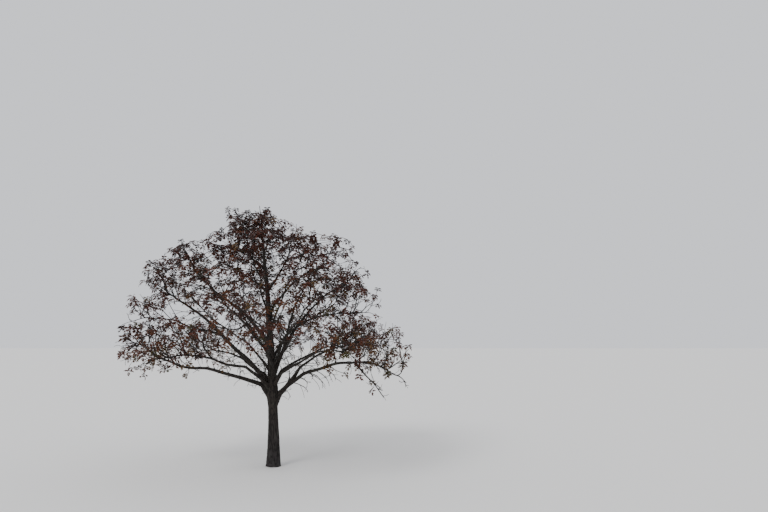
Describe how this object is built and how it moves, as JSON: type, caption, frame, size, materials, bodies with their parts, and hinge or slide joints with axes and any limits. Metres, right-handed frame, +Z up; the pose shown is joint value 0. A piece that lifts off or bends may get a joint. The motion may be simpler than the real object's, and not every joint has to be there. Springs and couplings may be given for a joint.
{
  "type": "walnut tree",
  "caption": "Free-standing young walnut tree with a single straight trunk, a fork at head height and a broad, open dome of tapering boughs in thin spring leaf.",
  "frame": {"origin": "middle of the flat cut under the trunk at ground level", "axes": "+Z up; +X to the right and +Y away from the viewer, as the tree is seen in the picture"},
  "size_m": [10.6786, 10.6715, 9.3419],
  "materials": {
    "bark": "dark grey-brown fissured bark, matt",
    "young_leaves": "young bronze and olive leaves, satin"
  },
  "bodies": {
    "root": {"trunk": "bark", "low_right": "bark", "low_right_upper": "bark", "low_left": "bark", "low_front_left": "bark", "low_front": "bark", "low_front_right": "bark", "low_back_right": "bark", "low_back": "bark", "low_back_left": "bark", "mid_left": "bark", "mid_left_lower": "bark", "mid_left_inner": "bark", "mid_front_left": "bark", "mid_front_right": "bark", "mid_right": "bark", "mid_right_lower": "bark", "mid_back_right": "bark", "mid_back_left": "bark", "high_left": "bark", "high_left_inner": "bark", "high_front": "bark", "high_front_right": "bark", "high_right": "bark", "high_back_right": "bark", "high_back_left": "bark", "crown_left": "bark", "crown_right": "bark", "crown_tuft": "bark", "low_right_hanging_branch": "bark", "low_right_foliage": "young_leaves", "low_right_upper_foliage": "young_leaves", "low_left_foliage": "young_leaves", "low_front_left_foliage": "young_leaves", "low_front_foliage": "young_leaves", "low_front_right_foliage": "young_leaves", "low_back_right_foliage": "young_leaves", "low_back_foliage": "young_leaves", "low_back_left_foliage": "young_leaves", "mid_left_foliage": "young_leaves", "mid_left_lower_foliage": "young_leaves", "mid_left_inner_foliage": "young_leaves", "mid_front_left_foliage": "young_leaves", "mid_front_right_foliage": "young_leaves", "mid_right_foliage": "young_leaves", "mid_right_lower_foliage": "young_leaves", "mid_back_right_foliage": "young_leaves", "mid_back_left_foliage": "young_leaves", "high_left_foliage": "young_leaves", "high_left_inner_foliage": "young_leaves", "high_front_foliage": "young_leaves", "high_front_right_foliage": "young_leaves", "high_right_foliage": "young_leaves", "high_back_right_foliage": "young_leaves", "high_back_left_foliage": "young_leaves", "crown_left_foliage": "young_leaves", "crown_right_foliage": "young_leaves", "crown_tuft_foliage": "young_leaves", "crown_top_foliage": "young_leaves"}
  },
  "joints": []
}
